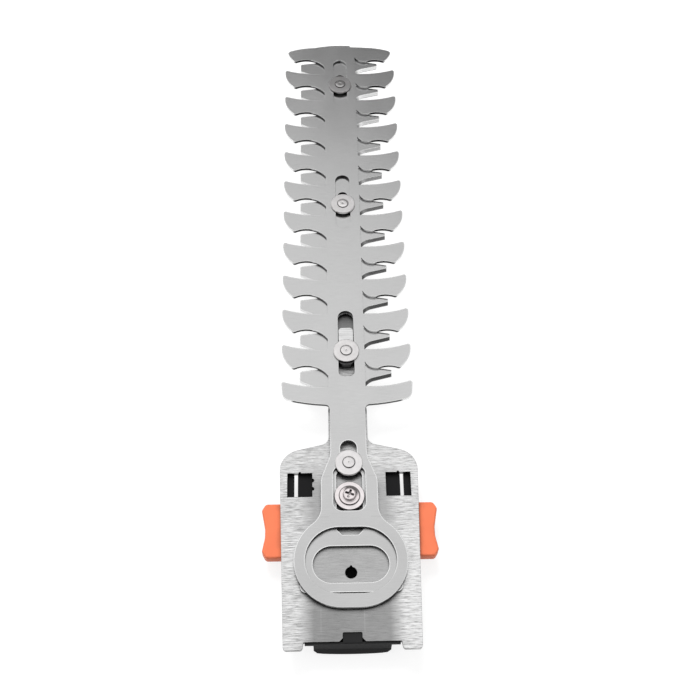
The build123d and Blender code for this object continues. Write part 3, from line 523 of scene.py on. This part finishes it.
def corner_arcs(points, radii, steps):
    """Closed outline with rounded corners.

    Each corner P with radius r is replaced by an arc. With a and b the unit ways to its two neighbours and
    t half the angle between them, the centre is P + (a + b) / |a + b| * r / sin t, and the arc turns from
    P + a * r / tan t to P + b * r / tan t by equal angles.
    """
    points = np.asarray(points, float)
    radii = np.asarray(radii, float)[:, None]
    a = np.roll(points, 1, axis=0) - points
    b = np.roll(points, -1, axis=0) - points
    a /= np.linalg.norm(a, axis=1)[:, None]
    b /= np.linalg.norm(b, axis=1)[:, None]
    half = np.arccos(np.clip((a * b).sum(axis=1), -1, 1))[:, None] / 2
    way = (a + b) / np.linalg.norm(a + b, axis=1)[:, None]
    centre = points + way * radii / np.sin(half)
    start = points + a * radii / np.tan(half) - centre
    end = points + b * radii / np.tan(half) - centre
    share = np.linspace(0, 1, steps)[None, :, None]
    turn = (math.pi - 2 * half)[:, :, None]
    arc = (np.sin((1 - share) * turn) * start[:, None] + np.sin(share * turn) * end[:, None]) / np.sin(turn)
    return (centre[:, None] + arc).reshape(-1, points.shape[1])


def rounded_rows(bottom, top, edge, steps, between=0):
    """Heights and draws of the rows of a rounded section: a quarter circle at both faces, straight between them.

    At the angle q of the quarter circle a row lies e (1 - cos q) from the face and is drawn in by e (1 - sin q).
    """
    quarter = np.linspace(0, math.pi / 2, steps)
    rise = edge * (1 - np.cos(quarter))
    inset = edge * (1 - np.sin(quarter))
    straight = np.linspace(bottom + edge, top - edge, between + 2)[1:-1]
    return (np.concatenate([bottom + rise, straight, top - rise[::-1]]),
            np.concatenate([inset, np.zeros(between), inset[::-1]]))


def stacked(line, draw, height):
    """Grid of points: a closed outline repeated at each height, moved in along its own normal by draw.

    The normal at a point is the way from the point before it to the point after it, turned by -90 degrees.
    """
    ahead = np.roll(line, -1, axis=0) - np.roll(line, 1, axis=0)
    normal = np.stack([ahead[:, 1], -ahead[:, 0]], axis=1) / np.linalg.norm(ahead, axis=1)[:, None]
    rows = line[None] - normal[None] * draw[..., None]
    return np.concatenate([rows, np.broadcast_to(height[:, None, None], rows.shape[:2] + (1,))], axis=-1)


def grid_faces(rows, columns, ring=False):
    """Faces of a grid whose columns run round and close.

    The rows close too in a ring; otherwise the first and last row are each closed by one flat face.
    """
    index = np.arange(rows * columns).reshape(rows, columns)
    low = index if ring else index[:-1]
    high = np.roll(index, -1, axis=0) if ring else index[1:]
    quads = [low, np.roll(low, -1, axis=1), np.roll(high, -1, axis=1), high]
    faces = np.stack(quads, axis=-1).reshape(-1, 4).tolist()
    return faces if ring else faces + [index[0, ::-1].tolist(), index[-1].tolist()]


def new_piece(name, points, faces, node, finish):
    """A finished piece in place of a CAD node, riding on that node's body; its points are in metres."""
    mesh = bpy.data.meshes.new(name)
    mesh.from_pydata(points.reshape(-1, 3).tolist(), [], faces)
    mesh.validate()
    mesh.shade_smooth()
    mesh.set_sharp_from_angle(angle=0.6)
    mesh.materials.append(finish)
    piece = bpy.data.objects.new(name, mesh)
    bpy.context.scene.collection.objects.link(piece)
    even = piece.modifiers.new("even_shading", "WEIGHTED_NORMAL")
    even.keep_sharp = True
    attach(piece, BODY_OF[node])
    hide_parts(node)
    return piece


def turned_piece(name, node, centre, radius, angle, height, finish, ring=False, start=0.0):
    """Grid of (radius, angle, height), in metres, about an upright axis through centre.

    x = cx + r cos a, y = cy + r sin a, z = h. The attribute "turn" holds (r, |a + start - pi|, h), which the
    rings of the finish read.
    """
    points = np.stack([centre[0] + radius * np.cos(angle), centre[1] + radius * np.sin(angle), height], axis=-1)
    piece = new_piece(name, points, grid_faces(*radius.shape, ring), node, finish)
    turn = piece.data.attributes.new("turn", "FLOAT_VECTOR", "POINT")
    turn.data.foreach_set("vector", np.stack([radius, np.abs(angle + start - math.pi), height], axis=-1).ravel())


def turned(name, node, profile, finish, ring, columns):
    """A profile of (radius, height), in mm, carried round the node's own upright axis."""
    centre = np.array(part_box(node)).mean(axis=0)
    profile = np.asarray(profile) * MM
    radius, angle = np.meshgrid(profile[:, 0], np.linspace(0, 2 * math.pi, columns, endpoint=False), indexing="ij")
    height = np.repeat(profile[:, 1:], columns, axis=1)
    turned_piece(name, node, centre, radius, angle, height, finish, ring)


def washer(name, node, hole, finish, edge=0.28):
    """Turned washer: a ring of rounded section, its upper outer edge the most."""
    low, high = np.array(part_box(node)) / MM
    outer = (high[0] - low[0]) / 2
    section = corner_arcs([(hole, low[2]), (outer, low[2]), (outer, high[2]), (hole, high[2])],
                          [0.06, 0.12, edge, 0.12], 6)
    turned(name, node, section, finish, True, 96)


def rivet(name, node, washer_node):
    """Rivet: low crowned head with a faint centre dimple, shank, and upset tail."""
    low, high = np.array(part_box(node)) / MM
    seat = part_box(washer_node)[1][2] / MM
    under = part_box("base_plate")[0][2] / MM
    tail = (high[0] - low[0]) / 2
    shank_radius = 1.8
    upset = [(0.02, low[2] + 0.12), (0.5, low[2]), (tail - 0.75, low[2] + 0.02), (tail - 0.3, low[2] + 0.16),
             (tail - 0.05, low[2] + 0.45), (tail, under - 0.12), (tail - 0.1, under)]
    shank = [(shank_radius, under), (shank_radius, seat - 0.2)]
    head = [(2.16, seat - 0.02), (2.24, seat + 0.06), (2.24, seat + 0.2), (2.16, seat + 0.3), (2.0, seat + 0.35),
            (1.6, seat + 0.38), (1.1, seat + 0.4), (0.7, seat + 0.4), (0.45, seat + 0.37), (0.02, seat + 0.33)]
    turned(name, node, upset + shank + head, RIVET, False, 72)


def retaining_screw():
    """Flanged screw on a polar grid: its height falls by the depth of the cross recess.

    The recess is the larger of two bars, each a soft step in from the arm's half width and its length.
    """
    low, high = np.array(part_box("retaining_screw")) / MM
    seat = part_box("screw_washer")[1][2] / MM
    top = high[2]
    rows = np.array([(1.5, low[2]), (1.9, low[2] + 0.4), (1.9, seat), (3.55, seat + 0.02), (3.72, seat + 0.14),
                     (3.75, seat + 0.34), (3.68, seat + 0.5), (3.5, seat + 0.58), (2.62, seat + 0.62),
                     (2.5, seat + 0.7), (2.48, top - 0.75), (2.4, top - 0.42), (2.24, top - 0.2), (2.0, top - 0.07)])
    crown, crown_rise, crown_steps = 1.9, 0.05, 34
    cap = np.linspace(crown, 0.01, crown_steps)
    height = np.concatenate([rows[:, 1], top - crown_rise * (cap / crown) ** 2])
    radius, angle = np.meshgrid(np.concatenate([rows[:, 0], cap]),
                                np.linspace(0, 2 * math.pi, 144, endpoint=False), indexing="ij")
    cross_turn, cross_depth = 0.35, 1.05

    half_width, half_length, width_step, length_step = 0.44, 1.72, 0.12, 0.35

    def bar(along, across):
        width = np.clip((half_width - np.abs(across)) / width_step, 0, 1)
        length = np.clip((half_length - np.abs(along)) / length_step, 0, 1)
        return width * length

    u, v = radius * np.cos(angle + cross_turn), radius * np.sin(angle + cross_turn)
    on_cap = np.arange(len(height))[:, None] >= len(rows)
    z = height[:, None] - cross_depth * np.maximum(bar(u, v), bar(v, u)) * on_cap
    turned_piece("cross_screw", "retaining_screw", (low + high) / 2 * MM, radius * MM, angle, z * MM, SCREW,
                 start=cross_turn)


def right_hand_box(name, side):
    """A side piece's box in mm, its two corners as if it were on the right."""
    low, high = np.array(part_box(name)) / MM
    if side < 0:
        low[0], high[0] = -high[0], -low[0]
    return low, high


def on_its_side(points, faces, side):
    """Points and faces of a right-hand piece, mirrored across X = 0 for the left, in metres and facing out."""
    return points * [side, 1, 1] * MM, faces if side > 0 else [face[::-1] for face in faces]


def button(side):
    """Release button: its outline drawn in from row to row of a rounded section.

    A row at height z is the outline moved in along its normal by the rounded section's draw, and by a finger
    dish, deepest at mid height and at the waist: 0.35 (1 - (z / 1.6)^2) exp(-(y / 6)^2), both from the middle.
    """
    hand = "right" if side > 0 else "left"
    low, high = right_hand_box(hand + "_button", side)
    inner, outer = low[0], high[0]
    y0, y1 = low[1], high[1]
    waist = outer - 1.4
    corners = [(inner, y0), (outer - 1.8, y0), (outer - 0.3, y0 + 2.6), (waist, y0 + 8.0), (waist, y0 + 11.4),
               (outer, y1 - 2.5), (outer - 1.5, y1), (inner, y1)]
    line = corner_arcs(corners, [0.9, 1.6, 1.6, 5.0, 5.0, 1.6, 1.6, 0.9], 9)
    z, draw = rounded_rows(low[2], high[2], 0.85, 7, 5)
    dish_depth, dish_height, dish_length, dish_reach = 0.35, 1.6, 6.0, 3
    dish = dish_depth * np.clip(1 - ((z - (low[2] + high[2]) / 2) / dish_height) ** 2, 0, 1)[:, None]
    dish = dish * np.exp(-((line[:, 1] - (y0 + y1) / 2) / dish_length) ** 2) * (line[:, 0] > outer - dish_reach)
    points, faces = on_its_side(stacked(line, draw[:, None] + dish, z), grid_faces(len(z), len(line)), side)
    new_piece(hand + "_button_pad", points, faces, hand + "_button", ORANGE)


def guide_block():
    """Hardened block on the lower rivet: its outline, drawn in by the rounded section at both faces."""
    low, high = np.array(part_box("guide_block")) / MM
    half, y0, y1 = high[0], low[1], high[1]
    line = corner_arcs([(-half, y0), (half, y0), (half, y1), (-half, y1)], [2.1, 2.1, 1.6, 1.6], 10)
    z, draw = rounded_rows(low[2], high[2], 0.22, 5)
    points = stacked(line, draw[:, None], z) * MM
    new_piece("slide_block", points, grid_faces(len(z), len(line)), "guide_block", BLOCK)


def coil_spring(side):
    """Compression spring: a round wire carried along a helix with a closed turn at each end.

    Along the share s the angle is 2 pi turns s, and x moves slowly over both end turns and evenly between.
    The wire's section lies between the way out from the axis and the axis itself.
    """
    hand = "right" if side > 0 else "left"
    low, high = right_hand_box(hand + "_spring", side)
    middle = (low + high) / 2
    wire, turns, steps, round_wire = 0.3, 6.5, 312, 10
    coil = (high[1] - low[1]) / 2 - wire
    share = np.linspace(0, 1, steps)
    angle = 2 * math.pi * turns * share
    end_share = 0.12
    reach = np.clip((share - end_share) / (1 - 2 * end_share), 0, 1)
    x = low[0] + wire + (high[0] - low[0] - 2 * wire) * (end_share * share + (1 - end_share) * reach)
    out = np.stack([np.zeros(steps), np.cos(angle), np.sin(angle)], axis=1)
    line = np.stack([x, np.full(steps, middle[1]), np.full(steps, middle[2])], axis=1) + coil * out
    around = np.linspace(0, 2 * math.pi, round_wire, endpoint=False)[None, :, None]
    section = np.cos(around) * out[:, None] + np.sin(around) * np.array([1.0, 0, 0])
    points, faces = on_its_side(line[:, None] + wire * section, grid_faces(steps, round_wire), side)
    piece = new_piece(hand + "_spring_coil", points, faces, hand + "_spring", SPRING)
    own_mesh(piece)


BLADE = blade_finish()
PLATE = plate_finish()
WASHER = turned_finish("washer_steel", (0.87, 0.85, 0.85), 0.28, 0.00235)
FLANGE = turned_finish("screw_steel", (0.92, 0.865, 0.87), 0.24, 0.00388)
RIVET = turned_finish("rivet_steel", (0.84, 0.82, 0.82), 0.24)
SCREW = turned_finish("cross_screw_steel", (0.93, 0.86, 0.865), 0.18)
BLOCK = block_finish()
SPRING = wire_finish("spring_wire", (0.62, 0.62, 0.62), 0.25)
BLACK = moulded_finish("black_moulding", (0.008, 0.008, 0.0085), 0.4, 0.000015, 0.15)
COVER = moulded_finish("black_cover_moulding", (0.027, 0.027, 0.0275), 0.5, 0.000015, 0.03)
ORANGE = moulded_finish("orange_moulding", (0.93, 0.22, 0.10), 0.48, 0.00001, 0.4)

FINISH_OF = {"plate": PLATE, "block": PLATE, "cover": COVER, "blade": BLADE, "latch": BLACK, "button": ORANGE}
for name, node in frame["nodes"].items():
    for held in node.material_slots:
        held.material = FINISH_OF.get(name.split("_")[-1], SPRING)

for where in ("tip", "middle", "lower", "neck"):
    washer(where + "_turned_washer", where + "_washer", 1.86, WASHER)
    rivet(where + "_crowned_rivet", where + "_rivet", where + "_washer")
washer("screw_turned_washer", "screw_washer", 1.96, FLANGE, 0.22)
retaining_screw()
guide_block()
for side in (1, -1):
    button(side)
    coil_spring(side)


# Stage, light and camera

def sees_background(tree):
    """1 for what the camera sees, straight, in metal or through glass."""
    path = add(tree, "ShaderNodeLightPath").outputs
    return most(tree, path["Is Camera Ray"], path["Is Glossy Ray"], path["Is Transmission Ray"])


def make_floor():
    """Pale floor just under the cover: it takes the shadow, and the camera sees the rest of it as white."""
    low = cad_box[0][2] - FLOOR_GAP
    half = FLOOR_HALF
    mesh = bpy.data.meshes.new("floor")
    corners = [(-half, -half, low), (half, -half, low), (half, half, low), (-half, half, low)]
    mesh.from_pydata(corners, [], [(0, 1, 2, 3)])
    floor = bpy.data.objects.new("floor", mesh)
    bpy.context.scene.collection.objects.link(floor)
    material = bpy.data.materials.new("pale_floor")
    material.use_nodes = True
    tree = material.node_tree
    tree.nodes.clear()
    seen = sees_background(tree)
    glow = add(tree, "ShaderNodeEmission", {"Color": (1, 1, 1, 1), "Strength": product(tree, seen, FLOOR_GLOW)})
    matt = add(tree, "ShaderNodeBsdfDiffuse", {"Color": (0.75, 0.75, 0.75, 1)})
    dim = add(tree, "ShaderNodeBsdfDiffuse", {"Color": (0.3, 0.3, 0.3, 1)})
    own = add(tree, "ShaderNodeMixShader", {0: seen, 1: matt.outputs[0], 2: dim.outputs[0]})
    both = add(tree, "ShaderNodeAddShader", {0: own.outputs[0], 1: glow.outputs[0]})
    add(tree, "ShaderNodeOutputMaterial", {"Surface": both.outputs[0]})
    mesh.materials.append(material)


def make_world():
    """White backdrop low down all round; above it a dim room with one wide ceiling light.

    The ceiling's edge over the blade's tip is where (y + CEILING_TURN x) / z passes CEILING_EDGE.
    """
    world = bpy.data.worlds.new("studio")
    bpy.context.scene.world = world
    world.use_nodes = True
    tree = world.node_tree
    tree.nodes.clear()
    way = add(tree, "ShaderNodeTexCoord").outputs["Generated"]
    x, y, z = add(tree, "ShaderNodeSeparateXYZ", {0: way}).outputs
    up = most(tree, z, 0.001)
    ahead = worked(tree, "DIVIDE", added(tree, y, product(tree, x, CEILING_TURN)), up)
    sides = worked(tree, "DIVIDE", size_of(tree, x), up)
    behind = worked(tree, "DIVIDE", product(tree, y, -1.0), up)
    ceiling = product(tree, falling(tree, ahead, CEILING_EDGE - 0.05, CEILING_EDGE + 0.1),
                      product(tree, falling(tree, sides, *CEILING_SIDES), falling(tree, behind, *CEILING_BACK)))
    room = between(tree, ceiling, ROOM_LIGHT, CEILING_LIGHT)
    straight = add(tree, "ShaderNodeLightPath").outputs["Is Camera Ray"]
    white = most(tree, straight, product(tree, sees_background(tree), falling(tree, z, *BACKDROP_TOP)))
    back = add(tree, "ShaderNodeBackground", {"Color": (1, 1, 1, 1), "Strength": mixed(tree, white, room, 1.0)})
    add(tree, "ShaderNodeOutputWorld", {"Surface": back.outputs[0]})


def make_lamp(name, place, aim, width, watts):
    """A square soft box, unseen in the metal."""
    lamp = bpy.data.lights.new(name, "AREA")
    lamp.shape = "SQUARE"
    lamp.size = width
    lamp.energy = watts
    holder = bpy.data.objects.new(name, lamp)
    bpy.context.scene.collection.objects.link(holder)
    way = np.array(aim, float) - np.array(place, float)
    flat = math.hypot(way[0], way[1])
    holder.rotation_euler = (math.atan2(flat, -way[2]), 0, math.atan2(way[1], way[0]) - math.pi / 2)
    holder.location = place
    holder.visible_glossy = False


def make_camera():
    """The photograph's place: about 390 mm away, looking at the mount from the legs' side and above."""
    lens = bpy.data.cameras.new("camera")
    lens.sensor_width = 36.0
    lens.lens = 53.733
    lens.clip_start, lens.clip_end = 0.01, 20.0
    camera = bpy.data.objects.new("camera", lens)
    bpy.context.scene.collection.objects.link(camera)
    camera.rotation_mode = "ZYX"
    camera.rotation_euler = (math.radians(31.0112), math.radians(-1.2616), math.radians(-0.6948))
    camera.location = (-0.0077764, -0.1256680, 0.3652884)
    bpy.context.scene.camera = camera


make_floor()
make_world()
make_lamp("soft_box_above", (-0.15, 0.6, 0.8), (0, 0.1, 0), 0.45, 6.0)
make_camera()
bpy.context.scene.view_settings.view_transform = "Standard"
